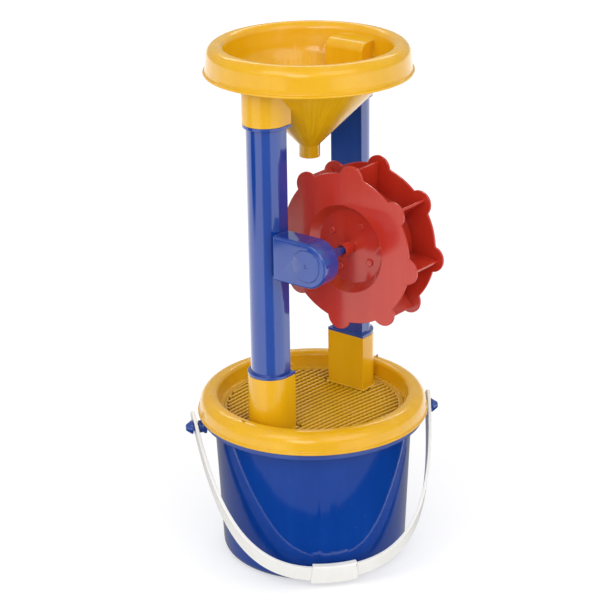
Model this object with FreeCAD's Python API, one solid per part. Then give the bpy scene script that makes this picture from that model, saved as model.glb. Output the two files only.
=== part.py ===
import FreeCAD
import Part
import math
import os

# Sand wheel toy: a bucket with a sieve tray on its rim, two D-shaped posts that plug into
# sockets in the tray, a hopper on top of the posts, and a paddle wheel that hangs on two
# bracket pins beside the hopper's spout. Millimetres, +Z up, origin at the centre of the
# bucket's base. The posts stand on the X axis, the wheel stands out towards -Y.

V = FreeCAD.Vector
Z_AXIS = V(0, 0, 1)

# ---- driving dimensions -------------------------------------------------------------

# bucket
bucket_base_radius = 74.0        # outer wall at the foot
bucket_mouth_radius = 79.6       # outer wall at the rim
bucket_height = 126.5
bucket_wall = 2.0
bucket_corner = 7.0              # rounding between base and wall
base_groove_inner = 22.0         # stiffening groove under the base
base_groove_outer = 56.0
base_groove_depth = 1.5
rim_reach = 9.0                  # from the wall at the mouth to the rim's outer face
rim_drop = 13.0                  # how far the rim is turned down
rim_round = 4.0

# handle pivots, moulded on the rim
handle_turn = -41.0              # degrees from +X to the line through both pivots
pivot_below_rim = 15.7           # pivot centre below the top of the rim
ear_radius = 6.0
neck_radius = 3.2
knob_radius = 6.4
knob_tip_radius = 2.4
knob_length = 5.6

# handle strap and grip
strap_width = 12.5
strap_thick = 2.6
bow_clearance = 7.2455           # from the bucket's wall at its foot to the resting bow
bow_foot = 11.8901               # middle of the resting bow above the ground
strap_lean = 6.5                 # degrees that each end leans inwards below its pivot
strap_side_pull = 85.0           # how far the bow follows that lean
strap_foot_pull = 66.0           # how far the bow runs level either side of its middle
strap_tab = 13.0                 # straight stretch above each pivot
strap_twist = 40.0               # degrees that the bow is turned from the ends
eye_clearance = 0.07
lip_clearance = 1.8              # between the tray's lip and the strap that swings past it
neck_play = 0.9                  # end play of the strap on its neck
keyhole_width = 3.0
keyhole_length = 8.0
grip_length = 39.0
grip_cover = 2.0                 # grip material on each side of the strap's width
grip_wall = 1.3

# sieve tray
tray_skirt_clearance = 1.6       # between the rim's outer face and the tray's lip
tray_rim_clearance = 0.4         # between the rim's outer face and the foot of the shoulder
tray_floor_clearance = 1.8       # between the bucket's mouth and the wall round the floor
tray_lip_height = 1.7
tray_wall = 1.8
tray_skirt = 7.5                 # how far the lip reaches below the top of the rim
tray_crest_inset = 10.0          # crest inside the rim's outer face
tray_crest_above_rim = 8.6
tray_brow_below_crest = 4.4
tray_rise_lean = 1.4             # lean of the inner rise between floor and brow
tray_lip_flare = 0.6             # lean of the outer skirt between shoulder and lip
tray_floor_below_rim = 4.0       # top of the floor below the top of the rim
tray_floor = 2.0
seat_rib_inset = 7.6             # rib that rests on the rim, inside the rim's outer face
seat_rib_width = 2.0
grid_inset = 3.0                 # sieve's edge inside the wall round the floor
grid_border = 1.5
grid_pad = 1.2                   # plain floor round each socket
rib_pitch = 4.6
slot_width = 2.4
bar_pitch = 13.8
bar_width = 2.2

# posts (D-shaped tubes, flat side towards the wheel)
socket_inset = 3.7               # socket's round back inside the wall round the floor
post_straight = 6.5              # straight part of each side
post_radius = 15.0               # half width and radius of the round back
post_wall = 2.0
post_foot_gap = 2.0              # post end above the tray's floor
post_collar = 2.4                # height of the stop collars
post_entry = 32.0                # how far each post goes up into the hopper

# sockets for the posts
socket_gap = 0.2
socket_wall = 2.4
lower_socket_height = 44.8       # above the tray's floor
between_sockets = 200.2          # top of the lower socket to mouth of the upper one
upper_socket_top = 42.0          # closed top above the mouth
upper_socket_round = 7.5

# hopper
hopper_lip_reach = 9.7           # from a socket's round back to the hopper's lip
hopper_lip_height = 1.7
hopper_wall = 1.8
hopper_lip_above_mouth = 28.0    # hopper's lip above the upper sockets' mouths
hopper_shoulder_inset = 2.6      # shoulder inside the lip
hopper_crest_inset = 7.9         # crest inside the shoulder
hopper_throat_inset = 9.5        # top of the cone inside the crest
hopper_ring_height = 22.1
hopper_shoulder_below_crest = 8.5
hopper_brow_below_crest = 6.0
hopper_ring_lean = 3.2           # lean of the ring's inner wall
hopper_lip_flare = 1.0           # lean of the outer wall down to the lip
cone_below_lip = 1.0             # top of the cone below the lip's underside
spout_radius = 8.1
spout_bore = 6.2
spout_length = 11.7
cone_height = 54.0

# wheel
wheel_offset = 46.6              # axle in front of the posts' plane
axle_above_socket = 100.9        # axle above the top of the lower sockets
wheel_width = 36.2
disc_thick = 2.0
disc_radius = 59.0
lobe_count = 8
lobe_inset = 2.8                 # lobe's centre inside the cheek's edge
lobe_radius = 10.4
wheel_turn = 6.3                 # degrees that the wheel is turned at rest
dish_radius = 34.3
dish_slope = 5.3                 # how much narrower the dish is at its floor
dish_depth = 8.0
drum_wall = 2.0
paddle_thick = 2.0
paddle_beyond_disc = 3.5
hub_radius = 5.2
hub_proud = 4.4                  # hub end beyond the disc
hub_mouth_radius = 4.2           # countersink at the hub's end
hub_mouth_depth = 1.5
peg_circle = 20.0
peg_radius = 2.2
peg_collar = 3.6
peg_head_radius = 3.0
peg_head = 1.4
peg_gap = 0.1

# wheel brackets
bracket_radius = 17.6
bracket_inset = 1.7              # outer face inside the post's round back
bracket_thick = 17.0
bracket_start = 15.0             # Y distance where the bracket leaves the post
root_inset = 9.0                 # bracket root set back from the outer face
root_depth = 5.0                 # how far the root wraps round the post
tenon_height = 16.0
tenon_width = 6.0
tenon_reach = 4.0
bracket_edge = 2.0
medallion_radius = 12.3
medallion_raise = 0.6
pin_radius = 2.8
pin_reach = 11.0                 # pin inside the hub
pin_clearance = 0.05
collar_radius = 3.8
hub_play = 4.5                   # between the hub's end and the pin's collar

# ---- radii and places worked out from the sizes above -------------------------------

rim_radius = bucket_mouth_radius + rim_reach
tray_lip_radius = rim_radius + tray_skirt_clearance + tray_wall
tray_shoulder_radius = rim_radius + tray_rim_clearance + tray_wall - tray_lip_flare
tray_crest_radius = rim_radius - tray_crest_inset
tray_floor_radius = bucket_mouth_radius - bucket_wall - tray_floor_clearance - tray_wall
seat_rib_radius = rim_radius - seat_rib_inset
grid_radius = tray_floor_radius - grid_inset
socket_grow = socket_gap + socket_wall
post_back = tray_floor_radius - socket_inset - socket_grow
post_flat = post_back - post_radius - post_straight
bracket_face = post_back - bracket_inset
hopper_lip_radius = post_back + socket_grow + hopper_lip_reach
hopper_shoulder_radius = hopper_lip_radius - hopper_shoulder_inset
hopper_crest_radius = hopper_shoulder_radius - hopper_crest_inset
hopper_throat_radius = hopper_crest_radius - hopper_throat_inset
lobe_centre = disc_radius - lobe_inset
paddle_reach = disc_radius + paddle_beyond_disc
dish_floor_radius = dish_radius - dish_slope

# ---- heights worked out from the sizes above ----------------------------------------

tray_floor_z = bucket_height - tray_floor_below_rim
lower_socket_z = tray_floor_z + lower_socket_height
upper_socket_z = lower_socket_z + between_sockets
hopper_lip_z = upper_socket_z + hopper_lip_above_mouth
post_top_z = upper_socket_z + post_entry
cone_top_z = hopper_lip_z - cone_below_lip
cone_foot_z = cone_top_z - cone_height
axle_z = lower_socket_z + axle_above_socket
pivot_z = bucket_height - pivot_below_rim
strap_inner = tray_lip_radius + lip_clearance
strap_middle = strap_inner + strap_thick / 2
bow_out = bucket_base_radius + bow_clearance
strap_drop = math.hypot(bow_out, pivot_z - bow_foot)
strap_swing = math.degrees(math.atan2(bow_out, pivot_z - bow_foot))


# ---- helpers ------------------------------------------------------------------------

def save(shape, name):
    """Write one node as a STEP file and print its volume."""
    if not shape.isValid():
        print("not valid:", name)
    shape.exportStep("parts/" + name + ".step")
    print(name, round(shape.Volume), "mm3,", len(shape.Solids), "solid(s)")
    return shape


def profile_wire(steps, at):
    """Closed wire from steps: (a, b) is a line to that point, (mid, end) pairs are arcs."""
    edges = []
    start = at(*steps[0])
    here = start
    for step in steps[1:]:
        if isinstance(step[0], tuple):
            middle = at(*step[0])
            there = at(*step[1])
            edges.append(Part.Arc(here, middle, there).toShape())
        else:
            there = at(*step)
            edges.append(Part.LineSegment(here, there).toShape())
        here = there
    if here.distanceToPoint(start) > 1e-6:
        edges.append(Part.LineSegment(here, start).toShape())
    return Part.Wire(edges)


def turned(steps):
    """Solid of revolution about Z from a closed outline of (radius, height) steps."""
    wire = profile_wire(steps, lambda r, z: V(r, 0, z))
    return Part.Face(wire).revolve(V(0, 0, 0), Z_AXIS, 360)


def disc(radius, low, high, centre=V(0, 0, 0)):
    """Cylinder along Z between two heights."""
    return Part.makeCylinder(radius, high - low, centre + V(0, 0, low), Z_AXIS)


def rod(radius, x0, x1, y, z):
    """Cylinder along X between two places."""
    return Part.makeCylinder(radius, abs(x1 - x0), V(min(x0, x1), y, z), V(1, 0, 0))


def block(x0, x1, y0, y1, z0, z1):
    """Box between two corners, given in any order."""
    corner = V(min(x0, x1), min(y0, y1), min(z0, z1))
    return Part.makeBox(abs(x1 - x0), abs(y1 - y0), abs(z1 - z0), corner)


def post_prism(side, grow, low, high):
    """D-shaped prism on the X axis: the post's section grown outwards by grow."""
    flat = side * (post_flat - grow)
    turn = side * (post_flat + post_straight)
    half = post_radius + grow
    back = turn + side * half
    steps = [(flat, -half), (turn, -half), ((back, 0), (turn, half)), (flat, half)]
    wire = profile_wire(steps, lambda x, y: V(x, y, low))
    return Part.Face(wire).extrude(V(0, 0, high - low))


def fillet_top_flat(shape, radius, height, x):
    """Round the straight top edge that lies at one X and one height."""
    for edge in shape.Edges:
        middle = edge.CenterOfMass
        if abs(middle.z - height) < 0.01 and abs(middle.x - x) < 0.01:
            return shape.makeFillet(radius, [edge])
    return shape


def lug_turn(shape):
    """Turn a shape built along X onto the line through the handle's pivots."""
    return shape.rotated(V(0, 0, 0), Z_AXIS, handle_turn)


# ---- bucket -------------------------------------------------------------------------

def make_bucket():
    """Tapered pail with a turned-down rim and two pivot knobs on ears."""
    slope = (bucket_mouth_radius - bucket_base_radius) / (bucket_height - bucket_corner)
    foot_mid = bucket_corner * (1 - math.cos(math.radians(45)))
    inner_corner = bucket_corner - bucket_wall
    inner_foot = bucket_base_radius - bucket_wall
    inner_mouth = bucket_mouth_radius - bucket_wall
    inner_mid = inner_corner * (1 - math.cos(math.radians(45)))
    rim_foot = bucket_height - rim_drop
    rim_mid = rim_round * (1 - math.cos(math.radians(45)))
    under_top = bucket_height - bucket_wall
    wall_there = bucket_mouth_radius - slope * bucket_wall
    pail = turned([
        (0, 0),
        (bucket_base_radius - bucket_corner, 0),
        ((bucket_base_radius - foot_mid, foot_mid), (bucket_base_radius, bucket_corner)),
        (wall_there, under_top),
        (rim_radius - rim_round, under_top),
        (rim_radius - bucket_wall, bucket_height - rim_round),
        (rim_radius - bucket_wall, rim_foot),
        (rim_radius, rim_foot),
        (rim_radius, bucket_height - rim_round),
        ((rim_radius - rim_mid, bucket_height - rim_mid), (rim_radius - rim_round, bucket_height)),
        (inner_mouth, bucket_height),
        (inner_foot, bucket_corner),
        ((inner_foot - inner_mid, bucket_wall + inner_mid), (inner_foot - inner_corner, bucket_wall)),
        (0, bucket_wall),
    ])
    groove = disc(base_groove_outer, 0, base_groove_depth)
    groove = groove.cut(disc(base_groove_inner, 0, base_groove_depth))
    ridge = disc(base_groove_outer + bucket_wall, bucket_wall, bucket_wall + base_groove_depth)
    ridge = ridge.cut(disc(base_groove_inner - bucket_wall, bucket_wall, bucket_wall + base_groove_depth))
    pail = pail.fuse(ridge).cut(groove)
    rim_ring = disc(rim_radius, pivot_z - ear_radius, bucket_height - rim_round)
    rim_ring = rim_ring.cut(disc(rim_radius - bucket_wall, pivot_z - ear_radius, bucket_height))
    for side in (-1, 1):
        ear_reach = rod(ear_radius, 0, side * rim_radius, 0, pivot_z)
        ear_reach = ear_reach.fuse(block(0, side * rim_radius, -ear_radius, ear_radius,
                                         pivot_z, bucket_height - rim_round))
        pad = rod(ear_radius - 1, side * (rim_radius - bucket_wall), side * (strap_inner - neck_play),
                  0, pivot_z)
        neck_end = strap_inner + strap_thick + neck_play
        neck = rod(neck_radius, side * (rim_radius - bucket_wall), side * neck_end, 0, pivot_z)
        knob = Part.makeCone(knob_radius, knob_tip_radius, knob_length,
                             V(side * neck_end, 0, pivot_z), V(side, 0, 0))
        rounded = [e for e in knob.Edges if abs(e.BoundBox.XLength) < 0.01]
        knob = knob.makeFillet(0.8, rounded)
        lug = rim_ring.common(ear_reach).fuse(pad).fuse(neck).fuse(knob)
        pail = pail.fuse(lug_turn(lug))
    return pail


# ---- handle -------------------------------------------------------------------------

def bow_point(share):
    """Place across and down, and the way along, on the bow: two mirrored cubic curves."""
    side = -1 if share <= 0.5 else 1
    t = 2 * min(share, 1 - share)
    lean = math.radians(strap_lean)
    guides = [
        (strap_middle, 0.0),
        (strap_middle - strap_side_pull * math.sin(lean), strap_side_pull * math.cos(lean)),
        (strap_foot_pull, strap_drop),
        (0.0, strap_drop),
    ]
    shares = ((1 - t) ** 3, 3 * t * (1 - t) ** 2, 3 * t * t * (1 - t), t ** 3)
    speeds = (-(1 - t) ** 2, (1 - t) * (1 - 3 * t), t * (2 - 3 * t), t * t)
    across, down = (sum(w * g[i] for w, g in zip(shares, guides)) for i in (0, 1))
    inwards, downwards = (sum(w * g[i] for w, g in zip(speeds, guides)) for i in (0, 1))
    along = V(side * inwards, 0, -downwards)
    if share > 0.5:
        along = along * -1
    return side * across, down, along.normalize()


def strap_frame(share):
    """Centre, width direction and thickness direction of the bow, share 0 to 1."""
    across, down, along = bow_point(share)
    normal = V(along.z, 0, -along.x)
    twist = math.radians(strap_twist) * math.sin(math.pi * share) ** 2
    width = V(0, -math.cos(twist), 0) - normal * math.sin(twist)
    thick = normal * math.cos(twist) + V(0, -math.sin(twist), 0)
    return V(across, 0, -down), width, thick


def strap_section(share, width, thick):
    """Closed rectangle across the bow at one place."""
    centre, w, t = strap_frame(share)
    corners = []
    for a, b in ((-1, -1), (1, -1), (1, 1), (-1, 1)):
        corners.append(centre + w * (a * width / 2) + t * (b * thick / 2))
    return Part.makePolygon(corners + [corners[0]])


def swung(shape):
    """Swing a handle shape out from straight down and set it on the pivots."""
    shape = shape.rotated(V(0, 0, 0), V(1, 0, 0), -strap_swing)
    return lug_turn(shape.translated(V(0, 0, pivot_z)))


def bow(width, thick, first, last, count):
    """Loft through rectangles along the bow between two shares of its length."""
    shares = [first + (last - first) * i / (count - 1) for i in range(count)]
    return Part.makeLoft([strap_section(s, width, thick) for s in shares], True, False)


def make_strap():
    """Flat strap with an eye at each end, twisted towards the middle of its bow."""
    strap = bow(strap_width, strap_thick, 0.0, 1.0, 31)
    half = strap_width / 2
    for side in (-1, 1):
        inner = side * (strap_middle - strap_thick / 2)
        outer = side * (strap_middle + strap_thick / 2)
        end = block(inner, outer, -half, half, 0, strap_tab - half)
        end = end.fuse(rod(half, inner, outer, 0, strap_tab - half))
        end = end.rotated(V(side * strap_middle, 0, 0), V(0, 1, 0), side * strap_lean)
        reach = strap_thick / 2
        eye = rod(neck_radius + eye_clearance, inner - side * reach, outer + side * reach, 0, 0)
        keyhole = block(inner - side * reach, outer + side * reach, -keyhole_width / 2,
                        keyhole_width / 2, -keyhole_length, 0)
        strap = strap.fuse(end).cut(eye).cut(keyhole)
    return swung(strap)


def make_grip():
    """Thicker grip sleeve round the middle of the bow."""
    near = bow_point(0.49)[0]
    half_share = grip_length / 2 * 0.01 / abs(near)
    first = 0.5 - half_share
    last = 0.5 + half_share
    sleeve = bow(strap_width + 2 * grip_cover, strap_thick + 2 * grip_wall, first, last, 9)
    sleeve = sleeve.makeFillet(0.9, sleeve.Edges)
    return swung(sleeve)


# ---- sieve tray ---------------------------------------------------------------------

def make_tray():
    """Ring that sits over the bucket's rim, with a floor and two open D sockets."""
    lip_z = bucket_height - tray_skirt
    lip_top = lip_z + tray_lip_height
    crest_z = bucket_height + tray_crest_above_rim
    shoulder_z = bucket_height + 1.0
    brow_z = crest_z - tray_brow_below_crest
    wall = tray_wall
    under_floor = tray_floor_z - tray_floor
    ring = turned([
        (grid_radius, tray_floor_z),
        (tray_floor_radius - 1, tray_floor_z),
        ((tray_floor_radius - 0.3, tray_floor_z + 0.3), (tray_floor_radius, tray_floor_z + 1)),
        (tray_floor_radius + tray_rise_lean, brow_z),
        ((tray_floor_radius + 2.5, crest_z - 1.2), (tray_crest_radius, crest_z)),
        ((tray_shoulder_radius - 3.1, crest_z - 2.1), (tray_shoulder_radius, shoulder_z)),
        (tray_shoulder_radius + tray_lip_flare, lip_top + 0.4),
        (tray_lip_radius, lip_top),
        (tray_lip_radius, lip_z),
        (tray_lip_radius - wall, lip_z),
        (tray_shoulder_radius + tray_lip_flare - wall, lip_top + 0.4),
        (tray_shoulder_radius - wall, shoulder_z),
        ((tray_shoulder_radius - 3.1 - wall * 0.7, crest_z - 2.1 - wall * 0.7),
         (tray_crest_radius, crest_z - wall)),
        ((tray_floor_radius + 2.5 + wall * 0.7, crest_z - 1.2 - wall * 0.7),
         (tray_floor_radius + tray_rise_lean + wall, brow_z)),
        (tray_floor_radius + wall, tray_floor_z + 1),
        (tray_floor_radius + wall, under_floor),
        (grid_radius, under_floor),
    ])
    rib_top = crest_z - wall * 0.7
    rib = disc(seat_rib_radius + seat_rib_width, bucket_height, rib_top)
    rib = rib.cut(disc(seat_rib_radius, bucket_height, rib_top))
    floor = disc(grid_radius + 1, under_floor, tray_floor_z)
    tray = ring.fuse(rib).fuse(floor.cut(grid_zone(0, under_floor, tray_floor_z)))
    for side in (-1, 1):
        outside = post_prism(side, socket_grow, under_floor, lower_socket_z)
        inside = post_prism(side, socket_gap, tray_floor_z, lower_socket_z + 1)
        tray = tray.fuse(outside).cut(inside)
    return tray.removeSplitter()


def grid_zone(border, low, high):
    """Round sieve area, less a pad round each socket, shrunk by border."""
    zone = disc(grid_radius - border, low, high)
    for side in (-1, 1):
        zone = zone.cut(post_prism(side, socket_grow + grid_pad + border, low, high))
    return zone


def make_grid():
    """Sieve plate: ribs along X with gaps between them, tied by cross bars."""
    low = tray_floor_z - tray_floor
    reach = grid_radius
    rows = int(reach / rib_pitch)
    columns = int(reach / bar_pitch) + 1
    gap_length = bar_pitch - bar_width
    gaps = []
    for row in range(-rows, rows + 1):
        y = row * rib_pitch
        for column in range(-columns, columns + 1):
            x = column * bar_pitch
            gaps.append(block(x - gap_length / 2, x + gap_length / 2, y - slot_width / 2,
                              y + slot_width / 2, low, tray_floor_z))
    cutter = grid_zone(grid_border, low, tray_floor_z).common(Part.makeCompound(gaps))
    pieces = [s for s in cutter.Solids if s.Volume > slot_width * slot_width * tray_floor]
    return grid_zone(0, low, tray_floor_z).cut(Part.makeCompound(pieces))


# ---- posts and brackets -------------------------------------------------------------

def tenon(side):
    """Tongue that locks a bracket into the side wall of its post."""
    x = side * (post_flat + post_straight)
    y_post = -post_radius
    return block(x - tenon_width / 2, x + tenon_width / 2, y_post + tenon_reach, y_post - 2,
                 axle_z - tenon_height / 2, axle_z + tenon_height / 2)


def make_post(side):
    """D-shaped tube with a stop collar above the lower and below the upper socket."""
    foot = tray_floor_z + post_foot_gap
    tube = post_prism(side, 0, foot, post_top_z)
    tube = tube.fuse(post_prism(side, socket_grow, lower_socket_z, lower_socket_z + post_collar))
    tube = tube.fuse(post_prism(side, socket_grow, upper_socket_z - post_collar, upper_socket_z))
    tube = tube.cut(post_prism(side, -post_wall, foot, post_top_z))
    return tube.cut(tenon(side))


def make_bracket(side):
    """Round-ended arm on the post's side, with a stub pin towards the wheel."""
    outer = side * bracket_face
    inner = side * (bracket_face - bracket_thick)
    arm = rod(bracket_radius, inner, outer, -wheel_offset, axle_z)
    arm = arm.fuse(block(inner, outer, -bracket_start, -wheel_offset,
                         axle_z - bracket_radius, axle_z + bracket_radius)).removeSplitter()
    rim = [e for e in arm.Edges if abs(e.BoundBox.XMax - outer) < 0.01
           and abs(e.BoundBox.XMin - outer) < 0.01]
    arm = arm.makeFillet(bracket_edge, rim)
    root = block(inner, side * (bracket_face - root_inset),
                 -bracket_start + root_depth, -bracket_start - 1,
                 axle_z - bracket_radius + bracket_edge, axle_z + bracket_radius - bracket_edge)
    hub_end = side * (wheel_width / 2 + hub_proud)
    stop = hub_end + side * hub_play
    tip = hub_end - side * pin_reach
    medallion = rod(medallion_radius, outer, outer + side * medallion_raise, -wheel_offset, axle_z)
    dimple = rod(1.2, outer, outer + side * medallion_raise, -wheel_offset, axle_z)
    seat = post_prism(side, 0, axle_z - 2 * bracket_radius, axle_z + 2 * bracket_radius)
    bracket = arm.fuse(root).cut(seat).fuse(tenon(side)).fuse(medallion).cut(dimple)
    collar = rod(collar_radius, inner, stop, -wheel_offset, axle_z)
    pin = rod(pin_radius, inner, tip, -wheel_offset, axle_z)
    return bracket.fuse(collar).fuse(pin)


# ---- wheel --------------------------------------------------------------------------

def wheel_place(shape):
    """Turn a wheel shape built about the X axis at the origin to its rest pose."""
    shape = shape.rotated(V(0, 0, 0), V(1, 0, 0), wheel_turn)
    return shape.translated(V(0, -wheel_offset, axle_z))


def around(angle, radius):
    """Point in the wheel's plane, angle in degrees from the top towards -Y."""
    turn = math.radians(angle)
    return V(0, -radius * math.sin(turn), radius * math.cos(turn))


def make_disc(side):
    """One lobed cheek with a dished middle and half of the hub sleeve."""
    face = side * wheel_width / 2
    back = face - side * disc_thick
    floor_face = face - side * dish_depth
    floor_back = floor_face - side * disc_thick
    hub_end = side * (wheel_width / 2 + hub_proud)
    cheek = rod(disc_radius, face, back, 0, 0)
    for i in range(lobe_count):
        centre = around(360.0 * i / lobe_count, lobe_centre)
        cheek = cheek.fuse(rod(lobe_radius, face, back, centre.y, centre.z))
    outer_wall = dish_radius + disc_thick
    outer_floor = dish_floor_radius + disc_thick
    bowl = Part.makeCone(outer_wall, outer_floor, dish_depth + disc_thick,
                         V(face, 0, 0), V(-side, 0, 0))
    hollow = Part.makeCone(dish_radius, dish_floor_radius, dish_depth,
                           V(face, 0, 0), V(-side, 0, 0))
    hub = rod(hub_radius, hub_end, 0, 0, 0)
    bore = rod(pin_radius + pin_clearance, hub_end, 0, 0, 0)
    mouth = Part.makeCone(hub_mouth_radius, pin_radius + pin_clearance, hub_mouth_depth,
                          V(hub_end, 0, 0), V(-side, 0, 0))
    cheek = cheek.fuse(bowl).cut(hollow).fuse(hub).cut(bore).cut(mouth)
    for i in range(4):
        centre = around(360.0 / lobe_count * (0.5 + 2 * i), peg_circle)
        cheek = cheek.cut(rod(peg_radius + peg_gap, floor_face, floor_back, centre.y, centre.z))
    return wheel_place(cheek)


def make_paddles():
    """Drum with a paddle behind each pair of lobes, clamped between the cheeks."""
    half = wheel_width / 2 - disc_thick
    drum_outer = dish_radius + disc_thick + drum_wall + peg_gap
    star = rod(drum_outer, -half, half, 0, 0)
    for i in range(lobe_count):
        plate = block(-half, half, -paddle_thick / 2, paddle_thick / 2,
                      drum_outer - drum_wall / 2, paddle_reach)
        star = star.fuse(plate.rotated(V(0, 0, 0), V(1, 0, 0), 360.0 * i / lobe_count))
    return wheel_place(star.cut(rod(drum_outer - drum_wall, -half, half, 0, 0)))


def make_pegs():
    """Four pegs that hold the two cheeks together through the dishes' floors."""
    floor_face = wheel_width / 2 - dish_depth
    floor_back = floor_face - disc_thick
    pegs = []
    for i in range(4):
        centre = around(360.0 / lobe_count * (0.5 + 2 * i), peg_circle)
        peg = rod(peg_radius, -floor_face, floor_face, centre.y, centre.z)
        peg = peg.fuse(rod(peg_collar, -floor_back, floor_back, centre.y, centre.z))
        for side in (-1, 1):
            head = rod(peg_head_radius, side * floor_face, side * (floor_face + peg_head),
                       centre.y, centre.z)
            crown = [e for e in head.Edges
                     if abs(abs(e.BoundBox.XMax) - floor_face - peg_head) < 0.01
                     and e.BoundBox.XLength < 0.01]
            peg = peg.fuse(head.makeFillet(peg_head * 0.6, crown))
        pegs.append(wheel_place(peg))
    return pegs


# ---- hopper -------------------------------------------------------------------------

def make_hopper():
    """Ring and cone with a spout, and two closed D sockets that sit on the posts."""
    wall = hopper_wall
    lip_z = hopper_lip_z
    lip_top = lip_z + hopper_lip_height
    crest_z = lip_z + hopper_ring_height
    shoulder_z = crest_z - hopper_shoulder_below_crest
    brow_z = crest_z - hopper_brow_below_crest
    crest = hopper_crest_radius
    brow = hopper_throat_radius + hopper_ring_lean
    tip_z = cone_foot_z - spout_length
    slant = math.hypot(cone_height, hopper_throat_radius - spout_bore)
    sink = wall * slant / (hopper_throat_radius - spout_bore)
    body = turned([
        (hopper_throat_radius, cone_top_z),
        (brow, brow_z),
        ((brow + 1.9, crest_z - 1.6), (crest, crest_z)),
        ((hopper_shoulder_radius - 2.2, crest_z - 2.6), (hopper_shoulder_radius, shoulder_z)),
        (hopper_shoulder_radius + hopper_lip_flare, lip_top + 0.4),
        (hopper_lip_radius, lip_top),
        (hopper_lip_radius, lip_z),
        (hopper_lip_radius - wall, lip_z),
        (hopper_shoulder_radius + hopper_lip_flare - wall, lip_top + 0.4),
        (hopper_shoulder_radius - wall, shoulder_z),
        ((hopper_shoulder_radius - 2.2 - wall * 0.7, crest_z - 2.6 - wall * 0.7),
         (crest, crest_z - wall)),
        ((brow + 1.9 + wall * 0.7, crest_z - 1.6 - wall * 0.7), (brow + wall, brow_z)),
        (hopper_throat_radius + wall, cone_top_z - sink + wall * 0.8),
        (spout_radius + 0.6, cone_foot_z - sink + wall * 0.8),
        (spout_radius, cone_foot_z - sink),
        (spout_radius, tip_z),
        (spout_bore, tip_z),
        (spout_bore, cone_foot_z),
    ])
    top_z = upper_socket_z + upper_socket_top
    cavity_top = top_z - socket_wall
    for side in (-1, 1):
        outside = post_prism(side, socket_grow, upper_socket_z, top_z)
        outside = fillet_top_flat(outside, upper_socket_round, top_z, side * (post_flat - socket_grow))
        inside = post_prism(side, socket_gap, upper_socket_z, cavity_top)
        inside = fillet_top_flat(inside, upper_socket_round - socket_wall, cavity_top,
                                 side * (post_flat - socket_gap))
        body = body.fuse(outside).cut(inside)
    return body


# ---- build --------------------------------------------------------------------------

def main():
    os.makedirs("parts", exist_ok=True)
    bucket = save(make_bucket(), "bucket")
    strap = save(make_strap(), "handle_strap")
    grip = save(make_grip().cut(strap), "handle_grip")
    save(make_tray(), "sieve_tray")
    save(make_grid(), "sieve_grid")
    for side, name in ((-1, "front"), (1, "rear")):
        save(make_post(side), name + "_post")
        save(make_bracket(side), name + "_bracket")
        save(make_disc(side), "wheel_" + name + "_cheek")
    save(make_paddles(), "wheel_paddles")
    save(Part.makeCompound(make_pegs()), "wheel_pegs")
    save(make_hopper(), "hopper")
    print("strap to bucket", round(strap.distToShape(bucket)[0], 2),
          "grip to bucket", round(grip.distToShape(bucket)[0], 2))


main()
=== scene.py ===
import math

import bmesh
import bpy
import numpy as np
from mathutils import Matrix, Vector


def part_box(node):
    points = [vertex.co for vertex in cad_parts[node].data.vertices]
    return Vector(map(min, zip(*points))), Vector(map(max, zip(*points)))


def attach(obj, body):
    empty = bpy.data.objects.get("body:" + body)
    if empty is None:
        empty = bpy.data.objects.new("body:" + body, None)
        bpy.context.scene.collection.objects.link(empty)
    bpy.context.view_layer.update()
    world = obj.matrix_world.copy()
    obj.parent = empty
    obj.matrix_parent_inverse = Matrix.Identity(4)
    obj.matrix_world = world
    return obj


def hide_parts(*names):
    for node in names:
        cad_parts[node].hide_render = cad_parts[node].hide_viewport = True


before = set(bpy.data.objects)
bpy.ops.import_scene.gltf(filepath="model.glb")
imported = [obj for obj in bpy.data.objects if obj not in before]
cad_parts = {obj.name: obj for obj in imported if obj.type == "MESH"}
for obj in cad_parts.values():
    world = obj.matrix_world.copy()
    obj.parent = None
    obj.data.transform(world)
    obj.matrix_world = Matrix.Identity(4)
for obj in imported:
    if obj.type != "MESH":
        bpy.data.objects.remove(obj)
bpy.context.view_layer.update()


# ---- bucket ---------------------------------------------------------------------------
# A tapered pail, injection moulded in glossy deep blue polypropylene. The rim is turned
# down, and carries two ears with necks and pointed knobs that the handle is pushed onto.

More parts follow.
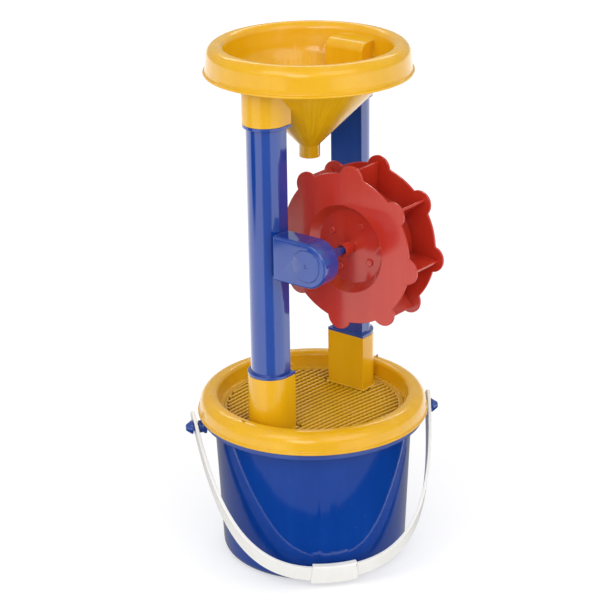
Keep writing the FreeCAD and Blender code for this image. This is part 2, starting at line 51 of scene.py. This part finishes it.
class Finish:
    """A socket in a shader's tree; arithmetic on it adds Math nodes to that tree."""

    def __init__(self, tree, socket=None):
        self.tree = tree
        self.socket = socket

    def make(self, kind, sets, feeds, out=0):
        """Adds a node: its settings first, then the values or links of its sockets."""
        node = self.tree.nodes.new(kind)
        for name, value in sets.items():
            setattr(node, name, value)
        for name, value in feeds.items():
            if isinstance(value, Finish):
                self.tree.links.new(value.socket, node.inputs[name])
            else:
                node.inputs[name].default_value = value
        return Finish(self.tree, node.outputs[out])

    def maths(self, operation, first, second):
        return self.make("ShaderNodeMath", {"operation": operation}, {0: first, 1: second})

    def __add__(self, other):
        return self.maths("ADD", self, other)

    def __radd__(self, other):
        return self.maths("ADD", other, self)

    def __sub__(self, other):
        return self.maths("SUBTRACT", self, other)

    def __rsub__(self, other):
        return self.maths("SUBTRACT", other, self)

    def __mul__(self, other):
        return self.maths("MULTIPLY", self, other)

    def __rmul__(self, other):
        return self.maths("MULTIPLY", other, self)

    def root(self):
        return self.maths("POWER", self, 0.5)

    def clipped(self, low, high):
        """0 below low, 1 above high, smooth between."""
        sets = {"interpolation_type": "SMOOTHSTEP"}
        feeds = {"Value": self, "From Min": low, "From Max": high}
        return self.make("ShaderNodeMapRange", sets, feeds)

    def noise(self, place, scale, detail):
        """Noise from 0 to 1 at a place, finer for a larger scale."""
        feeds = {"Vector": place, "Scale": scale, "Detail": detail}
        return self.make("ShaderNodeTexNoise", {}, feeds)

    def blend(self, share, first, second):
        """Colour between two colours by a share from 0 to 1. A colour Mix takes the share
        at input 0 and the colours at 6 and 7, and gives its result at output 2."""
        sets = {"data_type": "RGBA"}
        return self.make("ShaderNodeMix", sets, {0: share, 6: first, 7: second}, 2)


def paint(code):
    """Linear colour from a six-digit sRGB code, by the usual sRGB curve."""
    parts = np.array([int(code[i:i + 2], 16) for i in (0, 2, 4)]) / 255
    linear = np.where(parts > 0.04045, ((parts + 0.055) / 1.055) ** 2.4, parts / 12.92)
    return (*(float(v) for v in linear), 1.0)


plastic_ior = 1.49
coat_blur = 0.06
glow_reach = (0.004, 0.003, 0.002)     # how far red, green and blue spread inside, metres
corner_reach = 0.02                    # how near other surfaces make a corner that gets painted shade, metres
corner_samples = 6
flow_stretch = (3.0, 3.0, 0.35)        # drawn out along Z, as the melt ran
scuff_turn = (0.5, 0.9, 0.3)
scuff_stretch = (1.0, 9.0, 1.0)
dust_colour = paint("E8DFCB")
cloud_part, flow_part = 0.55, 0.45     # parts of clouds and flow lines in the tint
scuff_pale, scuff_dull = 0.16, 0.16    # what a scuff adds to paleness and to roughness
dust_pale, dust_dull = 0.05, 0.12      # what dust adds to them
flow_dull = 0.05                       # what flow lines add to roughness
wave_height = 0.00036                  # relief of sink waves, grain and scuffs, metres
grain_height = 0.000004
scuff_depth = 0.000008
relief_strength = 0.6


def moulded(name, body, pale, painted_shade_colour, gloss, coat, glow=0.0, shade=0.15):
    """Moulded plastic: colour with faint flow clouds and fine scuffs, a surface that is not
    quite flat (sink waves and a fine grain), and dust that dulls what faces upwards. Closed
    corners get painted shade: shade is the share of painted_shade_colour that they get."""
    material = bpy.data.materials.new(name)
    material.use_nodes = True
    tree = material.node_tree
    shader = tree.nodes["Principled BSDF"]
    mix = Finish(tree)
    place = mix.make("ShaderNodeTexCoord", {}, {}, "Object")
    facing = mix.make("ShaderNodeNewGeometry", {}, {}, "Normal")
    upward = mix.make("ShaderNodeSeparateXYZ", {}, {0: facing}, "Z")
    clouds = mix.noise(place, scale=9.0, detail=3.0)
    grain = mix.noise(place, scale=2600.0, detail=2.0)
    waves = mix.noise(place, scale=34.0, detail=1.0)
    feeds = {"Vector": place, "Scale": flow_stretch}
    along = mix.make("ShaderNodeMapping", {}, feeds)
    flow = mix.noise(along, scale=30.0, detail=4.0)
    feeds = {"Vector": place, "Rotation": scuff_turn, "Scale": scuff_stretch}
    across = mix.make("ShaderNodeMapping", {}, feeds)
    scuffs = mix.noise(across, scale=130.0, detail=3.0).clipped(low=0.66, high=0.76)
    dust_spots = mix.noise(place, scale=60.0, detail=5.0).clipped(low=0.45, high=0.75)
    dust = upward.clipped(low=0.2, high=1.0) * dust_spots
    tint = (clouds * cloud_part + flow * flow_part).clipped(low=0.32, high=0.70)
    colour = mix.blend(tint, body, pale)
    colour = mix.blend(scuffs * scuff_pale, colour, pale)
    colour = mix.blend(dust * dust_pale, colour, dust_colour)
    # Painted shade: where ambient occlusion finds other surfaces near, the colour is
    # darkened towards the darkest colour given.
    openness = mix.make("ShaderNodeAmbientOcclusion", {"samples": corner_samples},
                        {"Distance": corner_reach}, "AO")
    colour = mix.blend((1.0 - openness) * shade, colour, painted_shade_colour)
    tree.links.new(colour.socket, shader.inputs["Base Color"])
    roughness = gloss + flow * flow_dull + scuffs * scuff_dull + dust * dust_dull
    tree.links.new(roughness.socket, shader.inputs["Roughness"])
    relief = waves * wave_height + grain * grain_height - scuffs * scuff_depth
    feeds = {"Height": relief, "Distance": 1.0, "Strength": relief_strength}
    bump = mix.make("ShaderNodeBump", {}, feeds)
    tree.links.new(bump.socket, shader.inputs["Normal"])
    shader.inputs["IOR"].default_value = plastic_ior
    shader.inputs["Coat Weight"].default_value = coat
    shader.inputs["Coat Roughness"].default_value = coat_blur
    shader.inputs["Subsurface Weight"].default_value = glow
    shader.inputs["Subsurface Radius"].default_value = glow_reach
    return material


merge_distance = 0.000004              # metres
flat_angle = 0.004                     # radians
crease_angle = math.radians(35.0)      # a sharper turn than this is an edge
soft_edge = 0.0005                     # width that eases an edge of a large moulding
thin_edge = 0.0004                     # and of a thin one


def eased(node, body, material, edge=0.0):
    """A merged copy of a CAD node with its sharp edges eased, standing for that node."""
    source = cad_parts[node]
    mesh = source.data.copy()
    mesh.name = node + "_moulding"
    work = bmesh.new()
    work.from_mesh(mesh)
    bmesh.ops.remove_doubles(work, verts=work.verts, dist=merge_distance)
    bmesh.ops.dissolve_limit(work, angle_limit=flat_angle, verts=work.verts,
                             edges=work.edges)
    for face in work.faces:
        face.smooth = True
    work.to_mesh(mesh)
    work.free()
    mesh.set_sharp_from_angle(angle=crease_angle)
    mesh.materials.clear()
    mesh.materials.append(material)
    piece = bpy.data.objects.new(node + "_moulding", mesh)
    bpy.context.scene.collection.objects.link(piece)
    if edge:
        bevel = piece.modifiers.new("eased_edges", "BEVEL")
        bevel.width = edge
        bevel.segments = 2
        bevel.limit_method = "ANGLE"
        bevel.angle_limit = crease_angle
        bevel.use_clamp_overlap = False
        bevel.harden_normals = True
    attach(piece, body)
    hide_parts(node)


# In each plastic below, the darkest colour is painted shade for closed corners, not a
# colour of the plastic.
blue = moulded("glossy_blue", body=paint("04398F"), pale=paint("0C429C"),
               painted_shade_colour=paint("021A58"), gloss=0.11, coat=0.8)
eased("bucket", "bucket", blue, soft_edge)


# ---- handle ---------------------------------------------------------------------------
# A flat strap of white polypropylene with an eye and a keyhole at each end, twisted a
# little towards the middle, where a thicker grip sleeve is moulded round it.

white = moulded("satin_white", body=paint("F1EFEA"), pale=paint("F7F6F2"),
                painted_shade_colour=paint("C9C6C0"), gloss=0.24, coat=0.1)
eased("handle_strap", "handle", white, thin_edge)
eased("handle_grip", "handle", white)


# ---- sieve tray -----------------------------------------------------------------------
# One yellow moulding: a domed ring over the bucket's rim, a floor with rows of square
# holes between raised ribs, and two open D-shaped sockets for the posts.

yellow_body, yellow_pale = paint("E2AB0C"), paint("E9B416")
yellow = moulded("glossy_yellow", body=yellow_body, pale=yellow_pale,
                 painted_shade_colour=paint("C2900A"), gloss=0.17, coat=0.15, glow=0.35)
eased("sieve_tray", "tray", yellow, soft_edge)

rib_pitch = 0.0046
rib_width = 0.0026
rib_height = 0.0009              # ribs stand this far above the floor
rib_crown = 0.0017               # height of a rib's rounded top
rib_skew = -0.087                # slope of the middle rib on the floor
rib_fan = 1.18                   # slope that a rib gains per metre from the middle
rib_bow = 0.46                   # bend of each rib, per metre
bar_width = 0.0018               # cross bars between the ribs
bar_drop = 0.0004                # they lie this far below the floor
bar_crown = 0.0006
sieve_reach = 0.0692             # radius that the ribs reach
hoop_offset = 0.0006             # the hoop that their ends run into
hoop_width = 0.0030
hoop_crown = 0.0003
pad_half = 0.0192                # half width of the plain pad round each socket
pad_start = 0.0420               # where that pad starts and ends, from the middle
pad_end = 0.0695
pad_crown = 0.0002
end_part = 3                     # a bar stops short by a third of its width
shortest = 3                     # a stretch of no more points than this gets no bar
path_half, path_steps = 0.075, 121
rows_aside = 17                  # rows on either side of the middle one
crown_steps = 9
hoop_steps = 129
bar_crease = math.radians(50.0)
floor_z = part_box("sieve_grid")[1][2]
plate_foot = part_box("sieve_grid")[0][2]


def bar(path, width, foot, top, crown):
    """A bar along a path on the floor: its profile is flat below and half an ellipse of
    height crown above (width / 2 cos t, crown sin t), set square to the path."""
    turn = np.linspace(0.0, math.pi, crown_steps)
    ahead = np.gradient(path, axis=0)
    ahead /= np.linalg.norm(ahead, axis=1, keepdims=True)
    side = np.stack([-ahead[:, 1], ahead[:, 0]], axis=1)
    across = np.concatenate([[0.5], np.cos(turn) / 2, [-0.5]]) * width
    height = np.concatenate([[foot], top - crown + crown * np.sin(turn), [foot]])
    spots = path[:, None, :] + side[:, None, :] * across[None, :, None]
    level = np.broadcast_to(height[None, :, None], spots.shape[:2] + (1,))
    return np.concatenate([spots, level], axis=2)


def on_sieve(path, margin):
    """Stretches of a path that lie on the ribbed area, off the pads round the sockets."""
    x, y = np.abs(path[:, 0]), np.abs(path[:, 1])
    inside = np.hypot(x, y) < sieve_reach - margin
    inside &= ~((y < pad_half + margin) & (x > pad_start - margin))
    edges = np.flatnonzero(np.diff(np.concatenate([[0], inside.astype(int), [0]])))
    return [path[a:b] for a, b in zip(edges[::2], edges[1::2]) if b - a > shortest]


def rib_line(base, x):
    """A rib's Y along X, gently bowed and fanned: base + (skew + fan base) x - bow x^2."""
    return base + (rib_skew + rib_fan * base) * x - rib_bow * x * x


def joined_bars(name, lines):
    """One mesh of closed bars, each a grid of profile points along its path."""
    vertices, faces, count = [], [], 0
    for points in lines:
        runs, spots, _ = points.shape
        index = np.arange(runs * spots).reshape(runs, spots) + count
        ring = np.concatenate([index, index[:, :1]], axis=1)
        quads = np.stack([ring[:-1, :-1], ring[:-1, 1:], ring[1:, 1:], ring[1:, :-1]],
                         axis=-1)
        vertices.append(points.reshape(-1, 3))
        faces.extend(quads.reshape(-1, 4).tolist())
        faces.append(index[0][::-1].tolist())
        faces.append(index[-1].tolist())
        count += runs * spots
    mesh = bpy.data.meshes.new(name)
    mesh.from_pydata(np.concatenate(vertices).tolist(), [], faces)
    work = bmesh.new()
    work.from_mesh(mesh)
    bmesh.ops.recalc_face_normals(work, faces=work.faces)
    for face in work.faces:
        face.smooth = True
    work.to_mesh(mesh)
    work.free()
    mesh.set_sharp_from_angle(angle=bar_crease)
    piece = bpy.data.objects.new(name, mesh)
    bpy.context.scene.collection.objects.link(piece)
    return piece


stations = np.linspace(-path_half, path_half, path_steps)
rows = np.arange(-rows_aside, rows_aside + 1) * rib_pitch
sieve_bars = []
for base in rows:
    path = np.stack([stations, rib_line(base, stations)], axis=1)
    for stretch in on_sieve(path, rib_width / end_part):
        rib_top = floor_z + rib_height
        sieve_bars.append(bar(stretch, rib_width, plate_foot, rib_top, rib_crown))
for base in rows:
    path = np.stack([base - rib_skew * stations, stations], axis=1)
    for stretch in on_sieve(path, bar_width / end_part):
        bar_top = floor_z - bar_drop
        sieve_bars.append(bar(stretch, bar_width, plate_foot, bar_top, bar_crown))
hoop = np.linspace(0.0, 2 * math.pi, hoop_steps)
hoop_path = (sieve_reach + hoop_offset) * np.stack([np.cos(hoop), np.sin(hoop)], axis=1)
sieve_bars.append(bar(hoop_path, hoop_width, plate_foot, floor_z, hoop_crown))
for side in (-1, 1):
    slab = np.array([[side * pad_start, 0.0], [side * pad_end, 0.0]])
    sieve_bars.append(bar(slab, pad_half * 2, plate_foot, floor_z, pad_crown))
sieve = joined_bars("sieve_ribs", sieve_bars)
# The gaps between the ribs get strong painted shade: a near-black colour at a share of 0.8,
# by ambient occlusion.
sieve.data.materials.append(moulded("sieve_yellow", body=yellow_body, pale=yellow_pale,
                                    painted_shade_colour=paint("4A3204"), gloss=0.22, coat=0.1,
                                    shade=0.8))
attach(sieve, "tray")
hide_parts("sieve_grid")


# ---- posts and brackets ---------------------------------------------------------------
# Two D-shaped tubes moulded in the same blue, each with a stop collar at either socket,
# and on each a round-ended arm with a raised disc outside and the wheel's pin inside.

for side in ("front", "rear"):
    eased(side + "_post", "tower", blue, thin_edge)
    eased(side + "_bracket", "tower", blue, thin_edge)


# ---- wheel ----------------------------------------------------------------------------
# Two lobed cheeks in orange-red plastic, dished in the middle, with a drum and eight
# paddles clamped between them by four pegs.

# The wheel's dish and paddle pockets get a larger share of painted shade (0.3) in their
# corners.
red = moulded("glossy_red", body=paint("BF3020"), pale=paint("C63C28"),
              painted_shade_colour=paint("8E1812"), gloss=0.15, coat=0.2, glow=0.3, shade=0.3)
for name in ("wheel_front_cheek", "wheel_rear_cheek", "wheel_paddles"):
    eased(name, "wheel", red, soft_edge)
eased("wheel_pegs", "wheel", red)


# ---- hopper ---------------------------------------------------------------------------
# One yellow moulding that sits on the posts: a domed ring round a cone that ends in a
# short spout, with two closed D-shaped sockets whose tops stand up into the ring.

eased("hopper", "hopper", yellow, soft_edge)


# ---- floor, lamps and camera ----------------------------------------------------------
# A white sweep, seen as plain white, that keeps a soft shadow. Two broad suns light the
# toy from the left and right of the camera, with a soft box above on the left, one on
# either side, and a long one behind that lights the far rims.

floor_size = 16.0
white_light = (1, 1, 1, 1)
camera_direction = (-0.7874, -0.6164)  # from the toy towards the camera, on the floor

# Places on the floor are given to the camera's right and towards it, from the toy.
band_outer = (0.265, 0.170)            # half axes of the outer edge of the dark band
band_inner = 0.195                     # radius of its inner edge, and that edge's middle
band_middle = (-0.02, -0.10)
flag_middle = (-1.164, 0.29)           # a round dark place far to the left
band_depth, gap_depth = 0.97, 0.66     # how dark each place is in reflections
near_depth, flag_depth = 0.72, 0.9
mirror_strength = 1.55
mirror_colour = (0.96, 0.95, 0.96, 1)
middle_guard = 0.001                   # keeps the division off zero at the toy's axis


def sweep_material():
    """White to the camera. In reflections it is white apart from four darker places: a
    band round the toy's foot, the floor near it, a gap towards the camera and a round
    flag on the left. To everything else it is plain pale plastic."""
    material = bpy.data.materials.new("white_sweep")
    material.use_nodes = True
    tree = material.node_tree
    tree.nodes.clear()
    mix = Finish(tree)
    path = tree.nodes.new("ShaderNodeLightPath").outputs
    seen = Finish(tree, path["Is Camera Ray"])
    mirrored = Finish(tree, path["Is Glossy Ray"])
    through = Finish(tree, path["Is Transmission Ray"])
    place = mix.make("ShaderNodeTexCoord", {}, {}, "Object")
    x = mix.make("ShaderNodeSeparateXYZ", {}, {0: place}, "X")
    y = Finish(tree, x.socket.node.outputs["Y"])
    towards = x * camera_direction[0] + y * camera_direction[1]
    right = x * -camera_direction[1] + y * camera_direction[0]

    def square_from(middle):
        """Square of the distance on the floor from a place."""
        across, along = right - middle[0], towards - middle[1]
        return across * across + along * along

    outer = (right * right) * (1 / band_outer[0] ** 2)
    outer = outer + (towards * towards) * (1 / band_outer[1] ** 2)
    inner = square_from(band_middle) * (1 / band_inner ** 2)
    band = inner.clipped(low=0.9, high=1.15) * (1.0 - outer.clipped(low=0.85, high=1.1))
    distance = (x * x + y * y).root()
    near = 1.0 - distance.clipped(low=0.26, high=0.42)
    aside = mix.maths("DIVIDE", right, distance + middle_guard)
    straight = 1.0 - (aside * aside).clipped(low=0.10, high=0.24)
    gap = straight * towards.clipped(low=0.30, high=0.42)
    flag = 1.0 - square_from(flag_middle).root().clipped(low=0.24, high=0.38)
    dark = band * band_depth + gap * gap_depth + near * near_depth + flag * flag_depth
    lit = 1.0 - dark.clipped(low=0.0, high=1.0)

    glow = mix.make("ShaderNodeEmission", {}, {"Color": white_light, "Strength": 0.50})
    shade = mix.make("ShaderNodeBsdfDiffuse", {}, {"Color": (0.56, 0.56, 0.57, 1)})
    plain = mix.make("ShaderNodeBsdfDiffuse", {}, {"Color": (0.85, 0.85, 0.85, 1)})
    mirror = mix.make("ShaderNodeEmission", {},
                      {"Color": mirror_colour, "Strength": lit * mirror_strength})
    both = mix.make("ShaderNodeAddShader", {}, {0: glow, 1: shade})
    shown = mix.maths("MAXIMUM", seen, through)
    final = mix.make("ShaderNodeMixShader", {}, {0: shown, 1: plain, 2: both})
    final = mix.make("ShaderNodeMixShader", {}, {0: mirrored, 1: final, 2: mirror})
    out = tree.nodes.new("ShaderNodeOutputMaterial")
    tree.links.new(final.socket, out.inputs["Surface"])
    return material


sweep = bpy.data.meshes.new("sweep")
half = floor_size / 2
corners = [(-half, -half, 0), (half, -half, 0), (half, half, 0), (-half, half, 0)]
sweep.from_pydata(corners, [], [(0, 1, 2, 3)])
sweep.materials.append(sweep_material())
floor = bpy.data.objects.new("sweep", sweep)
bpy.context.scene.collection.objects.link(floor)

world_light = 0.70                     # strength of the white surroundings as light
world_seen_more = 0.30                 # more where they are seen, which gives plain white
world_mirrored_less = 0.17             # and less where they are mirrored
world = bpy.data.worlds.new("studio")
world.use_nodes = True
bpy.context.scene.world = world
world_tree = world.node_tree
world_rays = world_tree.nodes.new("ShaderNodeLightPath").outputs
seen = Finish(world_tree, world_rays["Is Camera Ray"])
through = Finish(world_tree, world_rays["Is Transmission Ray"])
mirrored = Finish(world_tree, world_rays["Is Glossy Ray"])
background = world_tree.nodes["Background"]
shown = seen.maths("MAXIMUM", seen, through)
strength = shown * world_seen_more + world_light - mirrored * world_mirrored_less
world_tree.links.new(strength.socket, background.inputs["Strength"])
background.inputs["Color"].default_value = white_light


def lamp(name, kind, energy, place, aim, size):
    """A lamp at a place, aimed at a point. Its size is a sun's angle in degrees, or a
    box's width and height in metres."""
    light = bpy.data.lights.new(name, kind)
    light.energy = energy
    if kind == "SUN":
        light.angle = math.radians(size)
    else:
        light.shape = "RECTANGLE"
        light.size, light.size_y = size
    holder = bpy.data.objects.new(name, light)
    bpy.context.scene.collection.objects.link(holder)
    holder.location = place
    away = Vector(aim) - Vector(place)
    holder.rotation_euler = away.to_track_quat("-Z", "Y").to_euler()


# The lamps aim at three places on the toy's axis.
foot, middle, upper = (0, 0, 0), (0, 0, 0.25), (0, 0, 0.30)
lamp("left_sun", "SUN", energy=0.60, place=(-1.08, -0.52, 0.50), aim=foot, size=26.0)
lamp("right_sun", "SUN", energy=0.55, place=(-0.356, -1.168, 0.953), aim=foot, size=40.0)
lamp("key_box", "AREA", energy=1.6, place=(-0.75, -0.02, 0.98), aim=upper,
     size=(0.5, 0.5))
lamp("fill_box", "AREA", energy=1.2, place=(0.05, -1.5, 0.5), aim=middle,
     size=(0.9, 0.9))
lamp("back_box", "AREA", energy=10.0, place=(1.42, 1.11, 1.9), aim=upper,
     size=(2.6, 0.25))
lamp("left_box", "AREA", energy=1.8, place=(-2.0, 0.6, 1.2), aim=middle,
     size=(1.0, 1.0))

camera_place = Vector((-1.1706, -0.9164, 0.7873))
lens, sensor = 121.84, 36.0            # millimetres
sight_limit = 50.0                     # metres
alpha = math.radians(51.94)            # from the camera's right to the posts' line
heading = -0.006                       # turns of the camera from the photo's axes, radians
down = 0.37
roll = -0.015


def to_frame(v):
    """From the photo's axes (right, away, up) to the toy's own."""
    return Vector((v[0] * math.cos(alpha) + v[1] * math.sin(alpha),
                   -v[0] * math.sin(alpha) + v[1] * math.cos(alpha), v[2]))


flat_ahead = Vector((math.sin(heading), math.cos(heading), 0))
flat_right = Vector((math.cos(heading), -math.sin(heading), 0))
ahead = math.cos(down) * flat_ahead + Vector((0, 0, -math.sin(down)))
level_up = math.sin(down) * flat_ahead + Vector((0, 0, math.cos(down)))
camera_right = math.cos(roll) * flat_right + math.sin(roll) * level_up
camera_up = -math.sin(roll) * flat_right + math.cos(roll) * level_up
axes = Matrix((to_frame(camera_right), to_frame(camera_up), -to_frame(ahead)))
turn = axes.transposed().to_4x4()
view = bpy.data.cameras.new("photo_view")
view.lens = lens
view.sensor_width = sensor
view.clip_end = sight_limit
camera = bpy.data.objects.new("photo_view", view)
camera.matrix_world = Matrix.Translation(camera_place) @ turn
bpy.context.scene.collection.objects.link(camera)
bpy.context.scene.camera = camera
bpy.context.scene.view_settings.view_transform = "Standard"
